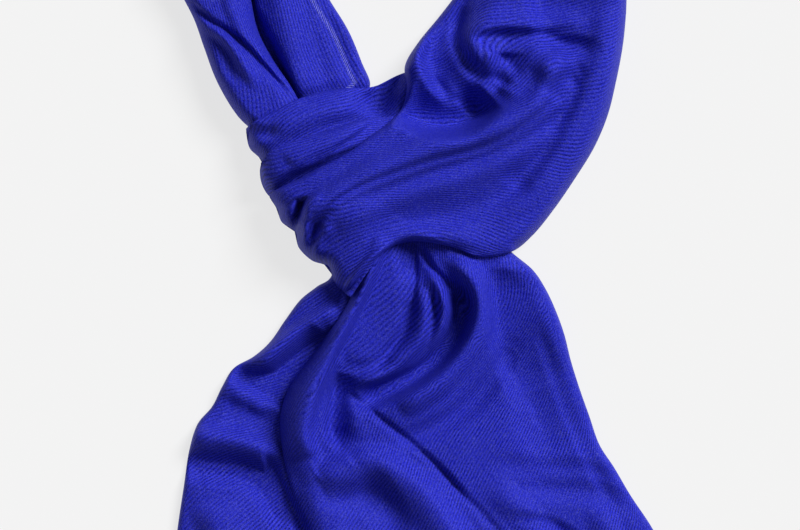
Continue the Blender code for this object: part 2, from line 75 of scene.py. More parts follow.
half = TABLE_SIZE / 2
corners = [(-half, -half, 0), (half, -half, 0), (half, half, 0), (-half, half, 0)]
table_mesh = bpy.data.meshes.new("table")
table_mesh.from_pydata(corners, [], [(0, 1, 2, 3)])
add_object("table", table_mesh)

table_paint = bpy.data.materials.new("matt white laminate")
table_paint.use_nodes = True
table_shader = table_paint.node_tree.nodes["Principled BSDF"].inputs
table_shader["Base Color"].default_value = (TABLE_GREY, TABLE_GREY, TABLE_GREY, 1.0)
table_shader["Emission Color"].default_value = WHITE
table_shader["Emission Strength"].default_value = TABLE_GLOW
table_shader["Roughness"].default_value = 0.9
table_shader["Specular IOR Level"].default_value = 0.1
table_mesh.materials.append(table_paint)

# %% Sky and soft key light
SKY_STRENGTH = 0.20
KEY_STRENGTH = 3.75
KEY_ANGLE = 0.45  # radians across: a wide source has soft shadows
KEY_AZIMUTH, KEY_HEIGHT = np.radians(42), np.radians(42)

world = bpy.data.worlds.new("studio sky")
world.use_nodes = True
sky = world.node_tree.nodes["Background"].inputs
sky["Color"].default_value = WHITE
sky["Strength"].default_value = SKY_STRENGTH
bpy.context.scene.world = world

key = bpy.data.lights.new("key", "SUN")
key.energy = KEY_STRENGTH
key.angle = KEY_ANGLE
add_object("key", key).rotation_euler = (np.pi / 2 - KEY_HEIGHT, 0, KEY_AZIMUTH + np.pi / 2)

# %% Camera straight above the knot
VIEW_WIDTH = 0.480  # metres of shawl across the frame, at the height of its upper faces
CAMERA_HEIGHT = 3.0
FACE_HEIGHT = 0.012
SENSOR = 36.0
camera = bpy.data.cameras.new("camera")
camera.sensor_width = SENSOR
camera.lens = SENSOR * (CAMERA_HEIGHT - FACE_HEIGHT) / VIEW_WIDTH
camera.clip_end = 20
camera_object = add_object("camera", camera)
camera_object.location = (KNOT_X * MM, KNOT_Y * MM, CAMERA_HEIGHT)
bpy.context.scene.camera = camera_object
bpy.context.scene.view_settings.view_transform = "Standard"
print(f"lens {camera.lens:.0f} mm")

# %% [markdown]
# ## Smooth lines through a few measured places
#
# Cloth has no straight runs, so every edge and every fold is a smooth line through a handful of places. A
# Catmull-Rom spline does that in one line of array sums: it goes through each place and needs no handles.

# %% Splines and distances
TINY = 1e-9  # keeps a length of nought out of a division
BATCH = 3000  # points measured against a line at a time, so that the arrays stay small


def spline(rows, places):
    """The rows' values at places counted in rows: a Catmull-Rom cubic, smooth and through every row."""
    rows = np.asarray(rows, float)
    padded = np.array([2 * rows[0] - rows[1], *rows, 2 * rows[-1] - rows[-2]])
    at = np.clip(np.asarray(places, float), 0.0, len(rows) - 1.0)
    i = np.minimum(at.astype(int), len(rows) - 2)
    f = (at - i)[:, None]
    p, q, r, s = (padded[i + k] for k in range(4))
    return q + 0.5 * f * (r - p + f * (2 * p - 5 * q + 4 * r - s + f * (3 * (q - r) + s - p)))


def smooth_line(points, per_span=8):
    """A smooth line through the points, as many short straight steps."""
    return spline(points, np.linspace(0, len(points) - 1, per_span * (len(points) - 1) + 1))


def unit(vectors):
    """Vectors scaled to length one."""
    return vectors / np.maximum(np.linalg.norm(vectors, axis=-1, keepdims=True), TINY)


def lengths(line):
    """The length run along the line up to each of its points."""
    return np.concatenate([[0.0], np.cumsum(np.hypot(*np.diff(line, axis=0).T))])


def nearest(points, line):
    """For each point: distance to the line, which side it is on, and how far along the nearest place is."""
    start, step = line[:-1], np.diff(line, axis=0)
    size = np.maximum((step**2).sum(1), TINY)
    run = lengths(line)[:-1]
    parts = []
    for block in np.array_split(points, max(1, len(points) // BATCH)):
        offset = block[:, None, :] - start[None]
        share = np.clip((offset * step[None]).sum(2) / size, 0.0, 1.0)
        gap = offset - share[..., None] * step[None]
        distance = np.hypot(gap[..., 0], gap[..., 1])
        k = distance.argmin(1)
        n = np.arange(len(block))
        side = step[k, 0] * offset[n, k, 1] - step[k, 1] * offset[n, k, 0]
        parts.append(np.stack([distance[n, k], side, run[k] + share[n, k] * np.sqrt(size[k])], 1))
    found = np.concatenate(parts)
    return found[:, 0], found[:, 1] > 0, found[:, 2]


# %% [markdown]
# ## How a stretch of cloth is described
#
# A gathered stretch is too soft for boxes or tubes, and a cloth simulation would not land its creases where
# we want them. So each stretch is a surface between two edge curves. Sections give both edges and the height
# of the cloth there, an edge profile rounds it down at the sides, and each fold adds a ridge or a trough
# along its own route. A fold that is wide on one side and narrow on the other reads as a pleat lying over.

# %% Sections, edges and folds
# Across a stretch, edge a is the one towards the neck opening or the left, edge b the one opposite.
Section = namedtuple("Section", "a_x a_y b_x b_y a_height b_height")
# lip: the share of the height that the rolled edge takes, within roll mm; the rest comes within rise mm.
Edge = namedtuple("Edge", "lip roll rise")
# height over 0 is a ridge, under 0 a trough; left and right are the half-widths on each side of the route.
Fold = namedtuple("Fold", "height left right route")
# One stretch: its sections, the profiles of edges a and b and of its end, the line round its tip, its folds.
Run = namedtuple("Run", "sections edge_a edge_b end tip folds")

ROUND_SIDE = Edge(0.91, 8.0, 17.0)
LAID_FOLD = Edge(0.60, 4.0, 13.0)
DEEP_ROLL = Edge(0.75, 10.0, 20.0)
THIN_SIDE = Edge(0.70, 3.0, 11.0)
CUT_END = Edge(0.45, 3.0, 16.0)  # the ends of the tails, where the plies show
HIDDEN = None  # this side is under another stretch

# %% Folds, plies and faint unevenness
FULLNESS = 1.48  # how much fuller the folds stand than their tables say
FOLD_REACH = 1.45  # a fold ends this many half-widths from its route
FOLD_FADE = 0.3, 16.0  # it fades in over this share of its route, or this many mm if that is less
FOLD_START = 0.15  # how far it has faded in at its very ends
PLY = 1.7  # mm: one ply of the folded shawl at its ends
PLY_ENDS = 6.0, 14.5  # mm: how far the plies above end short of the lowest one
PLY_SOFTNESS = 0.7  # mm: about half the width of a ply's step
PLY_WANDER = (1.3, 17.0), (0.8, 7.3)  # mm: how far the steps wander, and how fast
RUMPLE_HEIGHT = 0.3  # mm
RUMPLE_WAVES, RUMPLE_SUM = 16, 120  # the number of waves, and about what they add up to, in mm
RUMPLE_SHORTEST, RUMPLE_LONGEST = 14, 45  # mm


def fold_height(points, fold):
    """The height that one fold adds: (1 - d^2)^2 across its route, fading in and out at its two ends."""
    route = smooth_line(fold.route)
    reach = FOLD_REACH * max(fold.left, fold.right)
    low, high = route.min(0) - reach, route.max(0) + reach
    near = np.flatnonzero(((points > low) & (points < high)).all(1))
    added = np.zeros(len(points))
    if len(near):
        distance, on_left, along = nearest(points[near], route)
        width = np.where(on_left, fold.left, fold.right)
        across = np.clip(1 - (distance / (FOLD_REACH * width)) ** 2, 0, 1) ** 2
        whole = lengths(route)[-1]
        from_end = np.minimum(along, whole - along) / min(FOLD_FADE[0] * whole, FOLD_FADE[1])
        fade = np.clip(from_end + FOLD_START, 0, 1)
        added[near] = FULLNESS * fold.height * across * fade * (2 - fade)
    return added


def edge_share(distance, edge):
    """The share of the full height so far in from an edge: a quarter-round lip, then a slow sine rise."""
    lip = np.sqrt(1 - (1 - np.clip(distance / edge.roll, 0, 1)) ** 2)
    rise = np.sin(0.5 * np.pi * np.clip(distance / edge.rise, 0, 1))
    return edge.lip * lip + (1 - edge.lip) * rise


def ply_steps(distance, along):
    """How much lower the cloth is near a tail's end: one ply fewer at each soft and wandering step."""
    lower = 0
    for k, end in enumerate(PLY_ENDS):
        wander = sum(far * np.sin(along / slow + n * k) for n, (far, slow) in enumerate(PLY_WANDER, 1))
        lower = lower + (0.5 - 0.5 * np.tanh((distance - end - wander) / PLY_SOFTNESS))
    return PLY * lower


def rumple(points, seed):
    """Faint unevenness of handled cloth: a sum of long sine waves, all different."""
    chance = np.random.default_rng(seed)
    total = np.zeros(len(points))
    for _ in range(RUMPLE_WAVES):
        turn, start = chance.uniform(0, np.pi), chance.uniform(0, 2 * np.pi)
        wave = chance.uniform(RUMPLE_SHORTEST, RUMPLE_LONGEST)
        total += wave * np.sin((points @ (np.cos(turn), np.sin(turn))) * 2 * np.pi / wave + start)
    return RUMPLE_HEIGHT * total / RUMPLE_SUM


# %% [markdown]
# ## One layer on another
#
# Each stretch rests on the ones beneath it. A map of the table, 1 mm a cell, keeps the height of what is
# already laid. The next layer reads it, widened and blurred a little, so that it tents over a step as cloth
# does and never dips into the layer below.

# %% The height map
MAP_LOW = np.array([-175.0, -260.0])
MAP_SIZE = 370, 620
MAP_FINER = 4  # times as many rows and columns as the grid has, so that no cell is missed


def resample(values, rows, columns):
    """A grid of values at another number of rows and columns: straight lines between the old ones."""
    at = np.linspace(0, values.shape[0] - 1, rows)
    i = np.minimum(at.astype(int), values.shape[0] - 2)
    f = (at - i)[:, None, None]
    tall = values[i] * (1 - f) + values[i + 1] * f
    at = np.linspace(0, values.shape[1] - 1, columns)
    j = np.minimum(at.astype(int), values.shape[1] - 2)
    f = (at - j)[None, :, None]
    return tall[:, j] * (1 - f) + tall[:, j + 1] * f


def add_layer(height_map, points):
    """The height map lifted to a grid of points."""
    rows, columns = points.shape[:2]
    fine = resample(points[..., :3], MAP_FINER * rows, MAP_FINER * columns).reshape(-1, 3)
    cell = np.round(fine[:, :2] - MAP_LOW).astype(int)
    lifted = height_map.copy()
    np.maximum.at(lifted, (cell[:, 0], cell[:, 1]), fine[:, 2])
    return lifted


def rest_height(height_map, points, reach=2):
    """What the cloth rests on at the points: each cell's highest neighbour within reach, then their mean."""
    wide = height_map
    for settle in (np.max, np.mean):
        for axis in (0, 1):
            wide = settle([np.roll(wide, k, axis) for k in range(-reach, reach + 1)], 0)
    at = points - MAP_LOW
    i, j = np.floor(at).astype(int).T
    f, g = (at - np.floor(at)).T
    low = wide[i, j] * (1 - f) + wide[i + 1, j] * f
    high = wide[i, j + 1] * (1 - f) + wide[i + 1, j + 1] * f
    return low * (1 - g) + high * g


# %% [markdown]
# ## Laying one stretch
#
# The surface is a grid: rows run across the stretch at even steps along it, columns run along it, closer to
# each other near the sides where it turns down. Where a side shows, the cloth turns under there and goes on
# beneath, flat on what it rests on. Two sides that show meet in the middle of the underside.

# %% The surface of a stretch
RIM = 1.5  # mm: a folded edge where it lies down
LIFT = 0.35  # mm: the underside lies this far over what it rests on
THINNEST = 3.0  # mm of cloth over a lower layer
TIP_REACH = 2.6  # sections over which a stretch takes the shape of its tip
ROW_PLACES, EDGE_PLACES = 50, 10  # places to a section, where rows are spaced and where an edge is drawn
CROWDING = 0.45  # how much closer the columns are at the sides: 0 is even, 1 the most
UNDER_STRIDE = 5  # the underside has a column for each of so many above it
UNDER_IN, UNDER_UP = 2.0, 0.5  # mm: its outermost column is so far in, and the edge so far over it
END_OUT = 0.3  # mm: the row that closes an end stands out by this


def lay(run, step, columns, below, seed, first=0, last=None):
    """A stretch from section first to last: rest + rim + (full height - rest - rim) * share of the edges.

    Each point holds x, y, its height, and the height of the underside below it.
    """
    end = len(run.sections) - 1
    last = end if last is None else last
    at_end = last == end
    fine = np.linspace(first, last, ROW_PLACES * (last - first) + 1)
    at = spline(run.sections, fine)
    run_length = lengths((at[:, 0:2] + at[:, 2:4]) / 2)
    places = np.interp(np.linspace(0, run_length[-1], int(run_length[-1] / step) + 2), run_length, fine)
    at = spline(run.sections, places)
    even = np.linspace(0, 1, columns)
    share = ((1 - CROWDING) * even + CROWDING * (0.5 - 0.5 * np.cos(np.pi * even)))[None, :, None]
    flat = at[:, None, 0:2] + (at[:, None, 2:4] - at[:, None, 0:2]) * share
    end_line = np.array([at[-1, 0:2], at[-1, 2:4]])
    if run.tip and at_end:
        end_line = smooth_line(run.tip)
        round_share = lengths(end_line) / lengths(end_line)[-1]
        bulge = np.stack([np.interp(share[0, :, 0], round_share, end_line[:, k]) for k in (0, 1)], 1)
        bulge -= end_line[0] + (end_line[-1] - end_line[0]) * share[0]
        near_tip = np.clip((places - last + TIP_REACH) / TIP_REACH, 0, 1)
        flat = flat + bulge[None] * (near_tip**2 * (3 - 2 * near_tip))[:, None, None]
    points = flat.reshape(-1, 2)
    rest = rest_height(below, points)
    along = spline(run.sections, np.linspace(0, end, EDGE_PLACES * len(run.sections)))
    sides = [(along[:, 0:2], run.edge_a), (along[:, 2:4], run.edge_b)]
    sides += [(end_line, run.end)] if at_end else []
    rounded = np.ones(len(points))
    for line, edge in sides:
        if edge is not HIDDEN:
            rounded *= edge_share(nearest(points, line)[0], edge)
    full = (at[:, None, 4] + (at[:, None, 5] - at[:, None, 4]) * share[..., 0]).ravel()
    full = full + sum(fold_height(points, fold) for fold in run.folds) + rumple(points, seed)
    if at_end and run.end is CUT_END:
        distance, _, along_end = nearest(points, end_line)
        full = full - ply_steps(distance, along_end)
    height = rest + RIM + np.maximum(full - rest - RIM, THINNEST - RIM) * rounded
    return np.dstack([flat, height.reshape(flat.shape[:2]), rest.reshape(flat.shape[:2]) + LIFT])


def turned_under(top, reach):
    """What comes before the first column: the underside from column reach - 1 outwards, and the edge."""
    below = top.copy()
    below[..., 2] = top[..., 3]
    near = below[:, 0:1].copy()
    near[..., :2] += UNDER_IN * unit(top[:, 1:2, :2] - top[:, 0:1, :2])
    side = top[:, 0:1].copy()
    side[..., 2] = np.minimum(side[..., 2], side[..., 3] + UNDER_UP)
    return np.concatenate([below[:, list(range(reach - 1, UNDER_STRIDE, -UNDER_STRIDE))], near, side], 1)


def with_underside(run, top):
    """The top and its underside: columns turned under at the sides that show, and a row to close the end."""
    shown = [run.edge_a is not HIDDEN, run.edge_b is not HIDDEN]
    reach = top.shape[1] // 2 + 1 if all(shown) else top.shape[1]
    before = turned_under(top, reach) if shown[0] else top[:, :0]
    after = turned_under(top[:, ::-1], reach)[:, ::-1] if shown[1] else top[:, :0]
    whole = np.concatenate([before, top, after], 1)
    if run.end is not HIDDEN:
        close = whole[-1:].copy()
        close[..., :2] += END_OUT * unit(whole[-1:, :, :2] - whole[-2:-1, :, :2])
        close[..., 2] = np.minimum(close[..., 2], close[..., 3])
        whole = np.concatenate([whole, close], 0)
    return whole


# %% [markdown]
# ## Which way the twill runs
#
# Twill lines tell the eye how each stretch was pulled, so they follow the cloth and not the table. A short
# table gives their direction at some places. From it we work out two numbers for each point, its place along
# and across the lines in millimetres, by least squares: neighbouring points should differ by the step between
# them, measured along and across the lines there. The two numbers are the surface's UV map.

# %% Twill places
Grain = namedtuple("Grain", "x y degrees")
GRAIN_REACH = 12.0  # mm: nearer than this, a place in the table counts about as much as right on it
GRAIN_ROWS, GRAIN_COLUMNS = 120, 21  # of the coarse grid on which the places are worked out
CLOSENESS = 0.9, 1.12  # how far apart or close together the lines may get, as a share of their own spacing
LINES_TURN = 0.3  # how much of their direction the lines take from the round before
ROUNDS = 4
SHORTEST_STEP, LEAST_CELL = 1.0, 1e-6  # square mm, and mm to the fourth: cells that are crushed count no more


def fit_steps(wanted, trust, turns=260):
    """The grid whose steps down and over come nearest to those wanted, in trusted cells most.

    Least squares by conjugate gradients.
    """

    def spread(down, over):
        """Each step's value, taken from its first point and added to its second."""
        out = np.zeros((over.shape[0], down.shape[1]))
        out[:-1] -= down
        out[1:] += down
        out[:, :-1] -= over
        out[:, 1:] += over
        return out

    found = np.zeros((wanted[1].shape[0], wanted[0].shape[1]))
    left = spread(wanted[0] * trust[0], wanted[1] * trust[1])
    heading, size = left.copy(), (left**2).sum()
    for _ in range(turns):
        pushed = spread(np.diff(heading, axis=0) * trust[0], np.diff(heading, axis=1) * trust[1])
        reach = size / max((heading * pushed).sum(), TINY)
        found += reach * heading
        left -= reach * pushed
        size, old = (left**2).sum(), size
        heading = left + heading * size / max(old, TINY)
    return found


def steps_along(steps, heading, trust):
    """The place of each point along a heading: fitted to the steps between points, measured along it."""
    means = [(heading[1:] + heading[:-1]) / 2, (heading[:, 1:] + heading[:, :-1]) / 2]
    return fit_steps([(step * mean).sum(2) for step, mean in zip(steps, means)], trust)


def twill_places(grid, grain):
    """Place along and across the twill lines at each point of a grid, in mm.

    The lines' direction is a mean of the grain table, nearest rows most. Each round fits a grid of places to
    steps across the lines, then lets the lines draw closer or apart and turn a little where they came out so,
    because lines that fan out or bend can't all keep the same spacing.
    """
    coarse = resample(grid, GRAIN_ROWS, GRAIN_COLUMNS)
    down, over = np.gradient(coarse, axis=(0, 1))
    upright = unit(np.cross(down, over))
    upright *= np.sign(upright[..., 2].sum())
    steps = [np.diff(coarse, axis=0), np.diff(coarse, axis=1)]
    area = np.linalg.norm(np.cross(down, over), axis=2)
    sides = [(area[1:] + area[:-1]) / 2, (area[:, 1:] + area[:, :-1]) / 2]
    trust = [side / np.maximum((step**2).sum(2), SHORTEST_STEP) for side, step in zip(sides, steps)]
    table_rows = np.array(grain, float)
    distance = ((coarse[..., None, :2] - table_rows[:, :2]) ** 2).sum(3)
    weight = 1 / (distance + GRAIN_REACH**2) ** 2
    turn = np.radians((weight * table_rows[:, 2]).sum(2) / weight.sum(2))
    rib = np.dstack([np.cos(turn), np.sin(turn), np.zeros_like(turn)])
    asked = unit(np.cross(upright, rib))
    dd, oo, do = (down**2).sum(2), (over**2).sum(2), (down * over).sum(2)
    across = asked
    for _ in range(ROUNDS):
        place = steps_along(steps, across, trust)
        change_down, change_over = np.gradient(place, axis=(0, 1))
        slope = (change_down * oo - change_over * do)[..., None] * down
        slope = slope + (change_over * dd - change_down * do)[..., None] * over
        slope = slope / np.maximum(dd * oo - do**2, LEAST_CELL)[..., None]
        closeness = (slope * asked).sum(2)[..., None]
        closeness = np.clip(closeness / closeness.mean(), *CLOSENESS)
        across = closeness * unit((1 - LINES_TURN) * asked + LINES_TURN * unit(slope))
    both = np.dstack([steps_along(steps, unit(np.cross(across, upright)), trust), place])
    tall = spline(both.reshape(GRAIN_ROWS, -1), np.linspace(0, GRAIN_ROWS - 1, grid.shape[0]))
    tall = tall.reshape(-1, GRAIN_COLUMNS, 2).swapaxes(0, 1).reshape(GRAIN_COLUMNS, -1)
    full = spline(tall, np.linspace(0, GRAIN_COLUMNS - 1, grid.shape[1]))
    return full.reshape(grid.shape[1], grid.shape[0], 2).swapaxes(0, 1)


# %% [markdown]
# ## The cloth: fine pashmina twill
#
# The yarn is fine goat's down with some silk, dyed deep royal blue. A twill weave floats each weft thread
# over two warps and steps one over in the next row, so the face shows close diagonal ribs. To the eye that
# gives a soft matt surface with fine lighter lines, a faint bloom of loose fibres, and no gloss. Here the
# grooves between the ribs are painted darker as shade, and the bloom is painted as pale glints. The ribs on
# the real cloth are under a millimetre apart; they are drawn 1.8 mm apart, as coarse as it takes to show.


# %% Shader nodes
def linear(hex_colour):
    """sRGB hex to linear RGBA: c / 12.92 under 0.04045, else ((c + 0.055) / 1.055) to the power 2.4."""
    values = np.array([int(hex_colour[k : k + 2], 16) for k in (1, 3, 5)]) / 255
    spread = np.where(values <= 0.04045, values / 12.92, ((values + 0.055) / 1.055) ** 2.4)
    return (*(float(v) for v in spread), 1.0)


def add_node(tree, kind, sockets, **settings):
    """A new shader node's outputs. A socket takes the value given, or is fed by the output given."""
    node = tree.nodes.new(kind)
    for name, value in settings.items():
        setattr(node, name, value)
    for name, value in sockets.items():
        if isinstance(value, bpy.types.NodeSocket):
            tree.links.new(value, node.inputs[name])
        else:
            node.inputs[name].default_value = value
    return node.outputs


def noise(tree, place, scale, detail=2.0, roughness=0.5):
    """Noise of scale waves to a unit of place, with detail finer layers, each roughness times the last."""
    sockets = {"Vector": place, "Scale": scale, "Detail": detail, "Roughness": roughness}
    return add_node(tree, "ShaderNodeTexNoise", sockets)["Fac"]


def maths(tree, operation, *values):
    """An operation on one to three values; MULTIPLY_ADD is the first times the second, plus the third."""
    return add_node(tree, "ShaderNodeMath", dict(enumerate(values)), operation=operation)[0]


def remap(tree, value, old, new):
    """A value moved from the range old to the range new, and kept within it."""
    ends = {"From Min": old[0], "From Max": old[1], "To Min": new[0], "To Max": new[1]}
    return add_node(tree, "ShaderNodeMapRange", {"Value": value, **ends})["Result"]


def blend_colours(tree, share, first, second):
    """The first colour with share of the second in it."""
    return add_node(tree, "ShaderNodeMix", {0: share, 6: first, 7: second}, data_type="RGBA")[2]


def map_places(tree, name):
    """A UV map's vector, and its first and second number."""
    vector = add_node(tree, "ShaderNodeUVMap", {}, uv_map=name)["UV"]
    parts = add_node(tree, "ShaderNodeSeparateXYZ", {"Vector": vector})
    return vector, parts["X"], parts["Y"]


# %% Twill material
RIB = 1.8  # mm from one twill line to the next
RELIEF = 0.13  # mm: how deep the bump of the weave is
# The face colour is the cloth's own; the groove colour is painted shade between the ribs.
# The pale colour is painted glints, light caught by loose fibres put into the colour.
YARN_FACE, GROOVE_PAINTED_SHADE, FIBRE_GLINT_PAINT = "#2E34CE", "#05076A", "#8A8EE4"
SELVEDGE_ROW = 9.0  # mm in from the woven edge
SELVEDGE_DASH = 1.5  # mm from one pale dash to the next
SELVEDGE_YARN = "#A9ACEC"


def twill(name, selvedge=False):
    """Principled cloth: ribs follow the UV map, which holds millimetres along and across the twill lines."""
    cloth = bpy.data.materials.new(name)
    cloth.use_nodes = True
    tree = cloth.node_tree
    shader = tree.nodes["Principled BSDF"].inputs
    shader["Roughness"].default_value = 0.6
    shader["Specular IOR Level"].default_value = 0.15
    shader["Specular Tint"].default_value = linear("#8A90FF")
    place = add_node(tree, "ShaderNodeTexCoord", {})["Object"]
    weave, _, across = map_places(tree, "twill")
    # Ribs wander by a fraction of their spacing, as yarns do, in waves of 6 mm and less.
    wander = noise(tree, place, 170.0, 3.0, 0.6)
    phase = maths(tree, "MULTIPLY", maths(tree, "MULTIPLY_ADD", wander, 0.6, across), 2 * np.pi / RIB)
    # Handling raises the nap in patches 25 mm wide and less: the ribs stand out in some and sink in others.
    vivid = remap(tree, noise(tree, place, 40.0, 4.0), (0.3, 0.7), (0.12, 0.54))
    height = maths(tree, "MULTIPLY", maths(tree, "SINE", phase), vivid)
    # Single floats are short strokes, 1.6 mm along the rib and 0.6 mm across it; the nap is finer still.
    stroke = add_node(tree, "ShaderNodeMapping", {"Vector": weave, "Scale": (0.62, 1.7, 1.0)})["Vector"]
    height = maths(tree, "MULTIPLY_ADD", noise(tree, stroke, 1.0, 2.0, 0.6), 1.8, height)
    height = maths(tree, "MULTIPLY_ADD", noise(tree, place, 1100.0), 0.8, height)
    # Painted shade: where the weave's height is low, in its grooves, the colour goes darker; the raised faces
    # keep the cloth's own colour.
    face_vs_groove_shade = remap(tree, height, (0.6, 2.0), (0.0, 1.0))
    colour = blend_colours(tree, face_vs_groove_shade, linear(GROOVE_PAINTED_SHADE), linear(YARN_FACE))
    # Painted glints: tiny pale flecks of colour stand in for the light that loose fibres catch.
    painted_glint = remap(tree, noise(tree, place, 1500.0, 1.0), (0.48, 0.8), (0.0, 0.22))
    colour = blend_colours(tree, painted_glint, colour, linear(FIBRE_GLINT_PAINT))
    # The dye took a little unevenly: clouds some 60 mm across, up to 7 % lighter and darker.
    shade = remap(tree, noise(tree, place, 16.0), (0.3, 0.7), (0.93, 1.07))
    colour = add_node(tree, "ShaderNodeVectorMath", {0: colour, "Scale": shade}, operation="SCALE")["Vector"]
    if selvedge:
        colour = selvedge_dashes(tree, colour)
    tree.links.new(colour, shader["Base Color"])
    bump = add_node(tree, "ShaderNodeBump", {"Strength": 1.0, "Distance": RELIEF * MM, "Height": height})
    tree.links.new(bump["Normal"], shader["Normal"])
    return cloth


def selvedge_dashes(tree, colour):
    """The colour with a row of pale floats along the selvedge: slanting dashes in a band 2 to 3 mm wide."""
    edge, inward, along = map_places(tree, "selvedge")
    away = maths(tree, "ABSOLUTE", maths(tree, "SUBTRACT", inward, SELVEDGE_ROW))
    band = remap(tree, away, (0.6, 1.8), (1.0, 0.0))
    slant = maths(tree, "MULTIPLY_ADD", inward, 0.8, along)
    dash = maths(tree, "SINE", maths(tree, "MULTIPLY", slant, 2 * np.pi / SELVEDGE_DASH))
    patchy = maths(tree, "MULTIPLY_ADD", noise(tree, edge, 0.9), 3.0, dash)
    share = maths(tree, "MULTIPLY", remap(tree, patchy, (1.3, 3.0), (0.0, 0.55)), band)
    return blend_colours(tree, share, colour, linear(SELVEDGE_YARN))


PASHMINA = twill("woven pashmina twill")
PASHMINA_SELVEDGE = twill("woven pashmina twill with selvedge", selvedge=True)

# %% From grid to object
CLOTH_THICKNESS = 0.6  # mm
STEP = 1.4  # mm from one row of a grid to the next


def add_map(mesh, name, places, cells):
    """A UV map of the mesh, from each point's two numbers."""
    corners = places[cells.ravel()].ravel().astype(np.float32)
    mesh.uv_layers.new(name=name).data.foreach_set("uv", corners)


def cloth_object(name, run, top, grain, nodes, selvedge=None):
    """A stretch as a mesh with its twill map: one quad a cell, facing out, given the cloth's thickness.

    A selvedge is the line of the woven edge: a second map then holds the distance in from it and along it.
    """
    whole = with_underside(run, np.dstack([top, twill_places(top[..., :3], grain)]))
    grid, places = whole[..., :3], whole[..., 4:].reshape(-1, 2)
    rows, columns = grid.shape[:2]
    corner = (np.arange(rows - 1)[:, None] * columns + np.arange(columns - 1)).ravel()
    cells = np.stack([corner, corner + columns, corner + columns + 1, corner + 1], 1)
    across, along = top[:-1, 1:] - top[:-1, :-1], top[1:, :-1] - top[:-1, :-1]
    upward = (along[..., 0] * across[..., 1] - along[..., 1] * across[..., 0]).sum() > 0
    if not upward:
        cells = cells[:, ::-1]
    points = (grid + (KNOT_X, KNOT_Y, 0)).reshape(-1, 3) * MM
    mesh = bpy.data.meshes.new(name)
    mesh.from_pydata(points, [], cells.tolist())
    add_map(mesh, "twill", places, cells)
    if selvedge is not None:
        inward, _, along_edge = nearest(grid.reshape(-1, 3)[:, :2], selvedge)
        add_map(mesh, "selvedge", np.column_stack([inward, along_edge]), cells)
    mesh.polygons.foreach_set("use_smooth", np.ones(len(cells), bool))
    mesh.materials.append(PASHMINA if selvedge is None else PASHMINA_SELVEDGE)
    piece = add_object(name, mesh)
    wall = piece.modifiers.new("cloth thickness", "SOLIDIFY")
    wall.thickness = CLOTH_THICKNESS * MM
    wall.offset = -1
    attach(piece, "root")
    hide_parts(*nodes)
    print(f"{name}: {rows} x {columns} points, {len(cells) * 4} triangles")


# %% [markdown]
# ## The inner end, left of the neck opening
#
# Two thicknesses of cloth run up the left of the neck. The inner one is smooth, with the shawl's selvedge
# along the opening.

# %% Inner end
INNER_SECTIONS = [
    Section(-66, 72, -36, 84, 12, 12),
    Section(-74, 92, -26, 98, 13, 13),
    Section(-82, 108, -18, 108, 13, 13),
    Section(-92, 124, -23, 122, 13, 12),
    Section(-100, 142, -31, 141, 13, 11),
    Section(-105, 160, -42, 159, 13, 10),
    Section(-108, 178, -52, 176, 13, 10),
    Section(-108, 196, -58, 194, 13, 10),
    Section(-102, 216, -62, 212, 12, 10),
    Section(-94, 234, -68, 228, 12, 10),
]
INNER_FOLDS = [
    Fold(5.0, 11, 10, [(-80, 198), (-74, 168), (-68, 142), (-62, 118), (-57, 100)]),
    Fold(-9.0, 6, 6, [(-96, 176), (-93, 155), (-86, 140), (-78, 125), (-71, 110), (-65, 96)]),
    Fold(-2.0, 5, 5, [(-46, 154), (-38, 136), (-30, 116), (-24, 104)]),
    Fold(-1.2, 5, 6, [(-65, 95), (-53, 101), (-37, 104), (-21, 105)]),
]
INNER_GRAIN = [
    Grain(-70, 150, 98), Grain(-58, 144, 95), Grain(-48, 134, 104), Grain(-55, 115, 112),
    Grain(-40, 120, 112), Grain(-40, 153, 136), Grain(-28, 127, 134), Grain(-25, 113, 134),
    Grain(-75, 180, 100), Grain(-60, 178, 130), Grain(-80, 225, 95), Grain(-40, 100, 115),
]
inner_run = Run(INNER_SECTIONS, HIDDEN, THIN_SIDE, HIDDEN, [], INNER_FOLDS)
table_top = np.zeros(MAP_SIZE)
inner_grid = lay(inner_run, STEP, columns=40, below=table_top, seed=1)
over_inner = add_layer(table_top, inner_grid)
woven_edge = smooth_line(np.array(INNER_SECTIONS)[:, 2:4])
cloth_object(
    "inner_end", inner_run, inner_grid, INNER_GRAIN, ["left_inner_end"],
    selvedge=woven_edge,
)

# %% [markdown]
# ## The back tail
#
# Below the knot the two ends part. This one lies on the table, to the left and beneath the other.

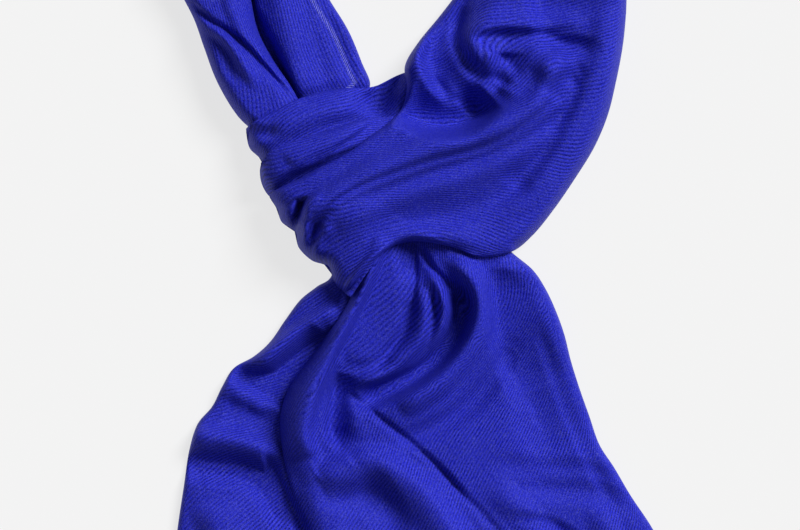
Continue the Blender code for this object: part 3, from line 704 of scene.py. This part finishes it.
# %% Back tail
BACK_TAIL_SECTIONS = [
    Section(-36, 16, -4, 16, 15, 14),
    Section(-41, -6, -8, -12, 15, 13),
    Section(-50, -13, -16, -28, 14, 12),
    Section(-60, -21, -25, -43, 13, 11),
    Section(-69, -33, -35, -58, 12, 10),
    Section(-78, -46, -44, -72, 11, 9),
    Section(-88, -55, -50, -84, 11, 9),
    Section(-100, -62, -54, -96, 10, 9),
    Section(-107, -73, -56, -108, 10, 9),
    Section(-113, -85, -55, -120, 10, 9),
    Section(-122, -96, -52, -132, 10, 9),
    Section(-127, -112, -48, -145, 10, 9),
    Section(-130, -132, -45, -160, 10, 9),
    Section(-134, -159, -42, -178, 9, 9),
    Section(-137, -188, -39, -199, 8, 8),
    Section(-139, -220, -35, -222, 8, 8),
]
BACK_TAIL_FOLDS = [
    Fold(7.5, 10, 6, [(-34, -25), (-50, -34), (-62, -42), (-75, -51), (-88, -59)]),
    Fold(-6.5, 9, 5, [(-101, -64), (-92, -69), (-83, -73), (-74, -78), (-66, -84)]),
    Fold(-8.0, 6, 11, [(-46, -40), (-57, -52), (-67, -64), (-75, -73), (-82, -79)]),
    Fold(-2.5, 8, 9, [(-106, -88), (-94, -91), (-80, -95), (-70, -97)]),
    Fold(2.0, 6, 6, [(-109, -71), (-98, -76), (-88, -81), (-78, -87)]),
    Fold(5.5, 6, 8, [(-130, -103), (-112, -103), (-96, -106), (-82, -111), (-72, -117)]),
    Fold(-6.0, 8, 8, [(-130, -120), (-110, -123), (-94, -125), (-83, -131), (-75, -143), (-67, -158)]),
    Fold(5.0, 20, 11, [(-114, -142), (-109, -158), (-104, -180), (-100, -214)]),
    Fold(-6.0, 6, 2, [(-80, -114), (-77, -128), (-69, -146), (-59, -164), (-49, -188)]),
]
BACK_TAIL_GRAIN = [
    Grain(-45, -20, 30), Grain(-60, -30, 28), Grain(-70, -46, 35), Grain(-84, -66, -5), Grain(-84, -80, 10),
    Grain(-98, -86, -3), Grain(-110, -102, 15), Grain(-92, -108, 5), Grain(-78, -113, 0),
    Grain(-118, -126, 20), Grain(-98, -126, 10), Grain(-110, -142, 40), Grain(-88, -142, 45),
    Grain(-70, -125, 85), Grain(-65, -152, 72), Grain(-90, -200, 45),
]
back_run = Run(BACK_TAIL_SECTIONS, THIN_SIDE, HIDDEN, CUT_END, [], BACK_TAIL_FOLDS)
back_grid = lay(back_run, STEP, columns=70, below=table_top, seed=2)
over_back = add_layer(table_top, back_grid)
cloth_object(
    "back_tail_cloth", back_run, back_grid, BACK_TAIL_GRAIN, ["back_tail"],
)

# %% [markdown]
# ## The front tail
#
# The other end lies on top. Its left side is a thick rolled fold, the middle is gathered into a hook of deep
# folds where it leaves the knot, and the right side runs out smooth to the selvedge.

# %% Front tail
FRONT_TAIL_SECTIONS = [
    Section(-16, 30, 42, 32, 24, 24),
    Section(-20, 14, 56, 20, 25, 24),
    Section(-24, -3, 67, 8, 25, 22),
    Section(-29, -18, 80, -3, 24, 20),
    Section(-36, -31, 88, -15, 22, 18),
    Section(-44, -42, 94, -28, 21, 16),
    Section(-53, -55, 99, -42, 20, 14),
    Section(-62, -67, 103, -58, 20, 12),
    Section(-69, -79, 108, -74, 20, 10),
    Section(-72, -93, 114, -91, 20, 9),
    Section(-71, -108, 120, -108, 19, 9),
    Section(-68, -124, 129, -122, 16, 9),
    Section(-63, -140, 139, -139, 14, 8),
    Section(-55, -157, 151, -157, 14, 8),
    Section(-50, -175, 159, -173, 15, 8),
    Section(-47, -200, 164, -197, 14, 8),
    Section(-46, -232, 167, -230, 13, 8),
]
FRONT_TAIL_FOLDS = [
    # the rolled left side
    Fold(10.5, 5, 13, [(-10, 21), (-19, -5), (-30, -28), (-41, -50), (-50, -71), (-56, -90), (-57, -104),
                       (-53, -115)]),
    # the hook below the knot
    Fold(-4.5, 10, 9, [(4, 26), (6, 12), (8, 0), (9, -10)]),
    Fold(-2.0, 1.8, 2.5, [(8, 18), (9, 2), (9, -12), (7, -26)]),
    Fold(-4.0, 4, 4, [(7, -20), (5, -30), (2, -40), (-5, -50), (-12, -58)]),
    Fold(3.5, 4, 5, [(14, -14), (15, -28), (13, -42), (5, -54), (-6, -60)]),
    Fold(-1.5, 4, 4, [(-6, -57), (-16, -60), (-28, -62)]),
    Fold(-2.0, 2.5, 2.5, [(19, -12), (21, -27), (19, -42), (10, -54), (-2, -61)]),
    Fold(4.5, 4, 5, [(17, -5), (22, -12), (26, -20), (28, -30), (25, -42), (17, -54), (3, -63), (-12, -68),
                     (-24, -70)]),
    Fold(-2.5, 2.2, 2.2, [(11, 12), (19, -1), (28, -10), (37, -15)]),
    Fold(-13.0, 7, 7, [(33, -14), (36, -20), (36, -29), (32, -41), (23, -53), (10, -64), (-4, -72),
                       (-15, -78), (-22, -82)]),
    Fold(6.5, 8, 6, [(31, 4), (43, -9), (48, -25), (45, -41), (37, -55), (26, -68), (12, -78), (-1, -86)]),
    Fold(-4.0, 7, 7, [(66, -50), (57, -66), (44, -82), (28, -94), (12, -102), (-2, -106)]),
    # the pocket and the crease that runs out of it, with a ridge below
    Fold(-8.0, 11, 3.5, [(-36, -64), (-39, -76), (-41, -88), (-41, -100), (-34, -110)]),
    Fold(-2.4, 2.0, 2.4, [(-29, -78), (-20, -85), (-10, -93), (0, -101), (12, -111), (25, -123), (38, -138)]),
    Fold(-1.5, 2.2, 2.8, [(20, -118), (38, -138), (50, -150), (64, -169), (74, -205)]),
    Fold(6.5, 9, 14, [(-49, -130), (-36, -123), (-23, -118), (-10, -120), (3, -128), (14, -137), (26, -152),
                      (38, -174), (48, -211)]),
    Fold(-3.0, 9, 12, [(-20, -124), (-12, -138), (-6, -152), (2, -182), (8, -219)]),
    Fold(3.0, 14, 12, [(-56, -126), (-48, -146), (-40, -168), (-34, -217)]),
    Fold(-2.0, 9, 8, [(-50, -136), (-32, -140), (-14, -144)]),
    # the smooth right side
    Fold(-5.5, 24, 8, [(60, -2), (59, -22), (62, -40), (67, -58), (75, -78)]),
    Fold(-2.0, 14, 12, [(76, -70), (80, -84), (84, -97), (93, -116)]),
    Fold(3.0, 8, 9, [(56, -133), (76, -151), (94, -177), (104, -215)]),
    Fold(-1.2, 6, 6, [(59, -119), (81, -122), (109, -123), (131, -130)]),
    Fold(-2.2, 7, 7, [(76, -131), (92, -135), (111, -136), (134, -143)]),
    Fold(-2.5, 5, 5, [(70, -152), (88, -156), (106, -166)]),
    Fold(2.5, 8, 8, [(118, -145), (130, -175), (136, -215)]),
    Fold(-1.0, 5, 4, [(84, -41), (92, -63), (101, -89), (112, -113), (126, -141)]),
]
FRONT_TAIL_GRAIN = [
    Grain(-15, 5, 20), Grain(0, -10, 18), Grain(-10, -25, 20), Grain(4, -36, 22), Grain(-26, -40, 28),
    Grain(10, -48, 40), Grain(18, -5, 95), Grain(35, -5, 104), Grain(50, -5, 116), Grain(66, -5, 130),
    Grain(27, -18, 70), Grain(48, -18, 94), Grain(66, -26, 88), Grain(30, -33, 70), Grain(52, -36, 76),
    Grain(76, -45, 56), Grain(25, -46, 48), Grain(45, -56, 60), Grain(82, -60, 66), Grain(-45, -60, 33),
    Grain(-20, -60, 26), Grain(0, -62, 46), Grain(-52, -85, 35), Grain(-56, -108, 42), Grain(-30, -92, 76),
    Grain(-10, -94, 70), Grain(4, -84, 42), Grain(25, -86, 46), Grain(46, -80, 62), Grain(70, -80, 70),
    Grain(90, -82, 85), Grain(20, -104, 52), Grain(46, -104, 66), Grain(76, -104, 70), Grain(104, -104, 95),
    Grain(-10, -112, 62), Grain(16, -116, 70), Grain(-46, -108, 36), Grain(-34, -108, 72),
    Grain(-48, -130, 40), Grain(-30, -130, 46), Grain(-5, -130, 56), Grain(14, -136, 55), Grain(36, -130, 74),
    Grain(60, -130, 74), Grain(90, -130, 80), Grain(114, -140, 83), Grain(-20, -152, 46), Grain(50, -150, 74),
    Grain(-20, -200, 50), Grain(60, -200, 70), Grain(130, -200, 82),
]
front_run = Run(FRONT_TAIL_SECTIONS, DEEP_ROLL, THIN_SIDE, CUT_END, [], FRONT_TAIL_FOLDS)
front_grid = lay(front_run, STEP, columns=112, below=over_back, seed=3)
over_tails = add_layer(over_back, front_grid)
cloth_object(
    "front_tail_cloth", front_run, front_grid, FRONT_TAIL_GRAIN, ["front_tail"],
)

# %% [markdown]
# ## The bight: round the neck, down the right and across the knot
#
# The folded middle of the shawl is one run of cloth. It starts under the knot at the left, goes up and round
# the back of the neck, comes down as a full roll on the right and wraps over everything to the left.

# %% Bight, the left and the back of the neck
BIGHT_SECTIONS = [
    Section(-50, 80, -70, 64, 22, 20),
    Section(-58, 94, -85, 78, 25, 22),
    Section(-66, 108, -98, 90, 25, 26),
    Section(-76, 123, -110, 110, 26, 28),
    Section(-85, 140, -118, 131, 26, 28),
    Section(-89, 157, -124, 148, 26, 27),
    Section(-91, 173, -133, 166, 26, 24),
    Section(-90, 188, -139, 184, 26, 24),
    Section(-84, 206, -141, 206, 26, 24),
    Section(-72, 224, -134, 241, 27, 24),
    Section(-50, 239, -110, 283, 28, 24),
    Section(-25, 244, -60, 313, 28, 24),
    Section(0, 246, 0, 322, 28, 25),
    Section(28, 241, 64, 312, 28, 25),
    Section(47, 227, 114, 279, 28, 26),
    Section(55, 206, 137, 228, 28, 27),
    Section(49, 184, 140, 194, 28, 28),
    Section(37, 167, 137, 170, 28, 28),
    Section(24, 150, 136, 150, 29, 28),
    Section(11, 134, 134, 131, 31, 29),
    Section(3, 120, 130, 110, 36, 30),
    Section(4, 106, 125, 90, 39, 29),
    Section(1, 94, 117, 71, 41, 28),
    Section(-8, 84, 106, 53, 41, 28),
    Section(-18, 77, 93, 34, 40, 28),
    Section(-28, 69, 80, 18, 40, 28),
    Section(-38, 63, 67, 8, 40, 28),
    Section(-48, 58, 48, 5, 40, 30),
    Section(-57, 53, 30, 11, 40, 34),
    Section(-66, 49, 8, 14, 38, 38),
    Section(-72, 46, -8, 9, 36, 38),
    Section(-76, 44, -19, -4, 32, 34),
    Section(-78, 41, -29, -19, 28, 30),
]
WRAP_TIP = [
    (-78, 41), (-74, 34), (-71, 26), (-63, 20), (-61, 11), (-53, 3), (-43, -1), (-38, -12), (-29, -19),
]
BIGHT_FOLDS = [
    # the left of the neck
    Fold(1.5, 6, 4, [(-105, 174), (-102, 156), (-95, 142), (-87, 129), (-78, 117)]),
    Fold(-4.0, 1.8, 2.6, [(-125, 157), (-113, 146), (-105, 141), (-98, 136), (-90, 129), (-83, 121),
                          (-76, 113), (-69, 105)]),
    Fold(3.5, 4, 4, [(-114, 143), (-105, 135), (-98, 127), (-93, 119), (-87, 109)]),
    Fold(-2.2, 4, 6, [(-119, 142), (-111, 135), (-105, 127), (-102, 118), (-100, 110)]),
    # round the back of the neck
    Fold(3.5, 7, 7, [(-127, 170), (-130, 203), (-115, 248), (-73, 286), (-13, 300), (52, 291), (101, 254)]),
    Fold(-4.5, 5, 6, [(-115, 166), (-115, 203), (-97, 243), (-58, 273), (-3, 282), (47, 273), (85, 244),
                      (105, 203)]),
    Fold(3.5, 6, 5, [(-101, 176), (-99, 208), (-77, 238), (-38, 260), (7, 265), (49, 252), (79, 220),
                     (89, 178)]),
    Fold(-3.5, 4, 5, [(18, 254), (52, 236), (68, 204), (60, 174), (48, 163)]),
    # down the right
    Fold(3.0, 5, 5, [(44, 178), (32, 158), (23, 146), (14, 132), (7, 119)]),
    Fold(-12.0, 19, 6, [(43, 182), (31, 162), (25, 148), (20, 136), (18, 124), (22, 112), (31, 102)]),
    Fold(-4.0, 5, 4, [(38, 156), (35, 146), (34, 136), (37, 126), (43, 116), (50, 108)]),
    Fold(3.8, 4, 8, [(108, 146), (80, 143), (60, 143), (47, 140), (43, 135), (47, 129), (55, 124), (63, 116),
                     (69, 107)]),
    Fold(-1.8, 4, 5, [(50, 136), (62, 137), (78, 137), (96, 135), (112, 133)]),
    Fold(-3.0, 5, 6, [(84, 134), (99, 131), (115, 130)]),
    Fold(-6.0, 28, 8, [(85, 174), (85, 158), (88, 146), (92, 136)]),
    Fold(-6.0, 5, 12, [(57, 108), (60, 114), (61, 120), (61, 127)]),
    Fold(-5.0, 6, 6, [(105, 114), (99, 111), (94, 106), (89, 99)]),
    Fold(-18.0, 20, 9, [(0, 95), (10, 89), (24, 85), (37, 86), (46, 92), (55, 100)]),
    Fold(2.0, 7, 7, [(122, 155), (121, 129), (116, 109), (108, 87), (95, 65), (80, 45), (64, 31)]),
    Fold(-3.5, 7, 12, [(104, 112), (98, 98), (91, 82), (80, 63), (66, 45)]),
    # across the knot
    Fold(8.0, 11, 9, [(85, 126), (91, 114), (88, 102), (75, 91), (58, 82), (40, 75), (20, 69), (2, 62),
                      (-16, 54), (-32, 45), (-45, 35), (-54, 25)]),
    Fold(-2.4, 1.8, 2.2, [(98, 104), (88, 94), (78, 86), (68, 79), (54, 72), (38, 67), (18, 62), (-2, 55),
                          (-22, 47), (-39, 37), (-48, 27), (-54, 14)]),
    Fold(3.2, 7, 6, [(93, 82), (71, 66), (47, 56), (23, 48), (-3, 40), (-27, 31), (-39, 22)]),
    Fold(-2.5, 8, 8, [(79, 50), (55, 38), (29, 30), (-1, 22), (-21, 14)]),
    Fold(2.4, 6, 10, [(48, 13), (38, 14), (22, 15), (6, 13), (-8, 7), (-21, -1), (-31, -10)]),
    # the pleats at the left end
    Fold(-12.0, 2.0, 2.4, [(-57, 43), (-59, 37), (-62, 29), (-64, 22), (-67, 14)]),
    Fold(3.5, 3, 3, [(-47, 43), (-54, 35), (-56, 25), (-57, 13)]),
    Fold(-2.5, 2.5, 3.5, [(-39, 33), (-46, 28), (-51, 21), (-53, 11)]),
    Fold(3.0, 3, 3, [(-41, 23), (-47, 15), (-51, 5)]),
    Fold(5.5, 2.5, 3, [(-36, -20), (-28, -9), (-20, 1), (-8, 11)]),
    Fold(-6.0, 2, 2.4, [(-32, -20), (-24, -8), (-15, 2), (-3, 11)]),
]
BIGHT_GRAIN = [
    Grain(-108, 142, 110), Grain(-90, 122, 105), Grain(-74, 106, 96), Grain(-90, 94, 82),
    Grain(-112, 180, 108), Grain(-120, 230, 95), Grain(-80, 290, 75), Grain(0, 290, 55), Grain(80, 280, 40),
    Grain(112, 230, 30), Grain(96, 180, 15), Grain(30, 152, 85), Grain(36, 128, 80), Grain(56, 147, -30),
    Grain(76, 148, -20), Grain(100, 146, -5), Grain(128, 142, 8), Grain(54, 128, 50), Grain(62, 116, 54),
    Grain(72, 130, 46), Grain(74, 116, 50), Grain(92, 130, 28), Grain(90, 118, 28), Grain(110, 126, 15),
    Grain(128, 116, 12), Grain(14, 120, 20), Grain(26, 114, 0), Grain(38, 104, -14), Grain(60, 108, 40),
    Grain(80, 108, 28), Grain(102, 102, 14), Grain(8, 100, 0), Grain(10, 84, -5), Grain(36, 88, 2),
    Grain(64, 90, 12), Grain(104, 84, 0), Grain(-10, 66, -6), Grain(40, 68, -5), Grain(84, 68, -5),
    Grain(-50, 58, -18), Grain(-28, 50, -5), Grain(0, 52, -5), Grain(30, 48, -8), Grain(64, 52, -6),
    Grain(92, 52, -20), Grain(-40, 30, 5), Grain(-10, 32, -2), Grain(26, 30, -12), Grain(60, 28, -21),
    Grain(84, 36, -25), Grain(-60, 28, 65), Grain(-56, 12, 45), Grain(-34, 12, 10), Grain(-25, -8, 42),
    Grain(-4, 18, 4), Grain(30, 18, -18), Grain(60, 16, -22),
]
bight_run = Run(BIGHT_SECTIONS, LAID_FOLD, ROUND_SIDE, ROUND_SIDE, WRAP_TIP, BIGHT_FOLDS)
NECK_TOP = 12  # the section at the back of the neck, where the two halves of the grid meet
LOOP_STEP = 1.6 * STEP  # the plainer half, round the neck, does with fewer rows
BIGHT_COLUMNS = 66
NOT_RESTED_ON = 5  # rows at the end of this half, where the other half goes on
left_grid = lay(bight_run, LOOP_STEP, BIGHT_COLUMNS, over_inner, seed=4, last=NECK_TOP)
over_left = add_layer(over_inner, left_grid[:-NOT_RESTED_ON])

# %% [markdown]
# ## Two pleats above the wrap
#
# The bight is gathered as it crosses the knot, and two of its pleats show above the wrap like narrow bands.

# %% Upper and middle band
UPPER_BAND_SECTIONS = [
    Section(9, 118, 6, 84, 11, 14),
    Section(-2, 114, -4, 82, 12, 17),
    Section(-17, 107, -16, 76, 16, 24),
    Section(-34, 106, -30, 70, 22, 29),
    Section(-50, 103, -46, 64, 26, 33),
    Section(-64, 98, -60, 58, 29, 33),
    Section(-77, 91, -71, 55, 30, 31),
    Section(-87, 86, -78, 54, 28, 28),
    Section(-92, 82, -81, 57, 24, 24),
]
UPPER_BAND_TIP = [(-92, 82), (-92, 77), (-90, 70), (-84, 64), (-81, 57)]
UPPER_BAND_FOLDS = [
    Fold(-9.0, 9, 14, [(-3, 122), (-8, 110), (-12, 99), (-17, 88)]),
    Fold(3.0, 7, 7, [(-25, 95), (-43, 93), (-61, 88), (-75, 80)]),
    Fold(-1.5, 5, 6, [(-89, 60), (-75, 69), (-57, 75), (-41, 81), (-23, 86), (-11, 88)]),
    Fold(-3.0, 4, 4, [(-92, 83), (-84, 79), (-74, 79)]),
]
MIDDLE_BAND_SECTIONS = [
    Section(-4, 89, -6, 64, 24, 30),
    Section(-22, 87, -22, 54, 31, 35),
    Section(-38, 82, -38, 48, 36, 37),
    Section(-54, 77, -51, 43, 36, 36),
    Section(-68, 72, -62, 40, 35, 34),
    Section(-77, 68, -68, 39, 31, 30),
    Section(-82, 63, -73, 38, 26, 26),
]
MIDDLE_BAND_TIP = [(-82, 63), (-84, 57), (-83, 49), (-79, 42), (-73, 38)]
MIDDLE_BAND_FOLDS = [
    Fold(2.5, 5, 6, [(-17, 82), (-37, 75), (-55, 67), (-71, 58)]),
    Fold(-8.0, 5, 6, [(-85, 38), (-71, 46), (-59, 52), (-41, 62), (-21, 76), (-7, 88)]),
    Fold(-3.0, 4, 4, [(-82, 65), (-72, 61), (-64, 55)]),
]
BAND_GRAIN = [
    Grain(-76, 92, 62), Grain(-50, 99, 42), Grain(-28, 101, 42), Grain(-56, 88, 52), Grain(-26, 91, 50),
    Grain(-86, 80, 60), Grain(-3, 104, 45), Grain(-70, 58, 25), Grain(-50, 73, 8), Grain(-30, 78, -6),
    Grain(-15, 84, -5),
]
upper_run = Run(UPPER_BAND_SECTIONS, LAID_FOLD, HIDDEN, ROUND_SIDE, UPPER_BAND_TIP, UPPER_BAND_FOLDS)
middle_run = Run(MIDDLE_BAND_SECTIONS, LAID_FOLD, HIDDEN, ROUND_SIDE, MIDDLE_BAND_TIP, MIDDLE_BAND_FOLDS)
upper_grid = lay(upper_run, STEP, columns=30, below=over_left, seed=5)
over_upper = add_layer(over_left, upper_grid)
middle_grid = lay(middle_run, STEP, columns=24, below=over_upper, seed=6)
over_bands = add_layer(over_upper, middle_grid)
cloth_object(
    "upper_pleat", upper_run, upper_grid, BAND_GRAIN, ["upper_band"],
)
cloth_object(
    "middle_pleat", middle_run, middle_grid, BAND_GRAIN, ["middle_band"],
)

# %% Bight, down the right and across
all_beneath = np.maximum(over_bands, over_tails)
wrap_grid = lay(bight_run, STEP, BIGHT_COLUMNS, all_beneath, seed=4, first=NECK_TOP)
bight_grid = np.concatenate([left_grid[:-1], wrap_grid])
cloth_object(
    "bight", bight_run, bight_grid, BIGHT_GRAIN,
    ["left_outer_end", "neck_loop_left", "neck_loop_right", "front_wrap"],
)
